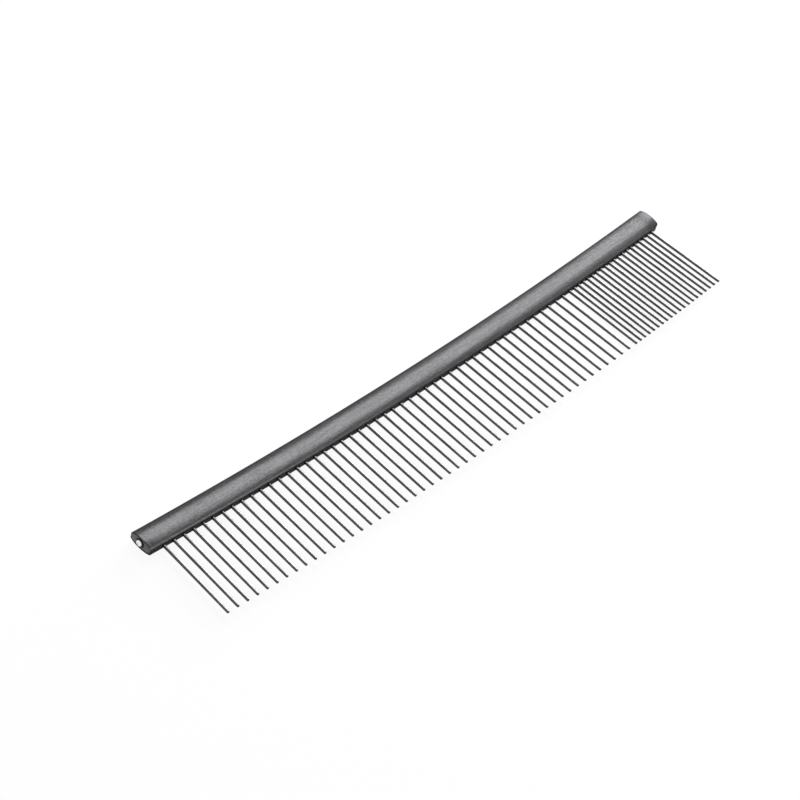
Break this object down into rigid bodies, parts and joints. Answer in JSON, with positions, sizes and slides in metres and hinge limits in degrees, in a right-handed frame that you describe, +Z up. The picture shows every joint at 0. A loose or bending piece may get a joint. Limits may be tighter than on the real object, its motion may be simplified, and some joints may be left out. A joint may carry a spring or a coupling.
{
  "type": "grooming comb",
  "caption": "Steel grooming comb: a slim, gently bowed oval spine with one row of long round teeth, spaced wide at one end and close at the other.",
  "frame": {"origin": "centre of the comb's footprint, on the surface that it lies on", "axes": "+X along the spine from the coarse end to the fine end, teeth towards -Y, +Z up through the thickness"},
  "size_m": [0.2498, 0.0441, 0.0047],
  "materials": {
    "satin_spine": "dark grey satin, bead blasted",
    "dark_plug": "dark grey satin",
    "bright_rivet": "polished",
    "polished_teeth": "polished steel pins",
    "inner_steel": "plain machined, hidden in the spine"
  },
  "bodies": {
    "root": {"spine_tube": "satin_spine", "coarse_end_plug": "dark_plug", "fine_end_plug": "dark_plug", "coarse_end_rivet": "bright_rivet", "fine_end_rivet": "bright_rivet", "coarse_tooth_bar": "inner_steel", "fine_tooth_strip": "polished_teeth", "coarse_tooth_01": "polished_teeth", "coarse_tooth_02": "polished_teeth", "coarse_tooth_03": "polished_teeth", "coarse_tooth_04": "polished_teeth", "coarse_tooth_05": "polished_teeth", "coarse_tooth_06": "polished_teeth", "coarse_tooth_07": "polished_teeth", "coarse_tooth_08": "polished_teeth", "coarse_tooth_09": "polished_teeth", "coarse_tooth_10": "polished_teeth", "coarse_tooth_11": "polished_teeth", "coarse_tooth_12": "polished_teeth", "coarse_tooth_13": "polished_teeth", "coarse_tooth_14": "polished_teeth", "coarse_tooth_15": "polished_teeth", "coarse_tooth_16": "polished_teeth", "coarse_tooth_17": "polished_teeth", "coarse_tooth_18": "polished_teeth", "coarse_tooth_19": "polished_teeth", "coarse_tooth_20": "polished_teeth", "coarse_tooth_21": "polished_teeth", "coarse_tooth_22": "polished_teeth", "coarse_tooth_23": "polished_teeth", "coarse_tooth_24": "polished_teeth", "coarse_tooth_25": "polished_teeth", "coarse_tooth_26": "polished_teeth", "coarse_tooth_27": "polished_teeth", "coarse_tooth_28": "polished_teeth", "coarse_tooth_29": "polished_teeth", "coarse_tooth_30": "polished_teeth", "coarse_tooth_31": "polished_teeth", "coarse_tooth_32": "polished_teeth", "coarse_tooth_33": "polished_teeth", "coarse_tooth_34": "polished_teeth", "coarse_tooth_35": "polished_teeth", "coarse_tooth_36": "polished_teeth", "coarse_tooth_37": "polished_teeth", "coarse_tooth_38": "polished_teeth", "coarse_tooth_39": "polished_teeth", "coarse_tooth_40": "polished_teeth", "coarse_tooth_41": "polished_teeth", "coarse_tooth_42": "polished_teeth", "coarse_tooth_43": "polished_teeth", "coarse_tooth_44": "polished_teeth", "coarse_tooth_45": "polished_teeth", "coarse_tooth_46": "polished_teeth", "coarse_tooth_47": "polished_teeth", "coarse_tooth_48": "polished_teeth", "coarse_tooth_49": "polished_teeth"}
  },
  "joints": []
}
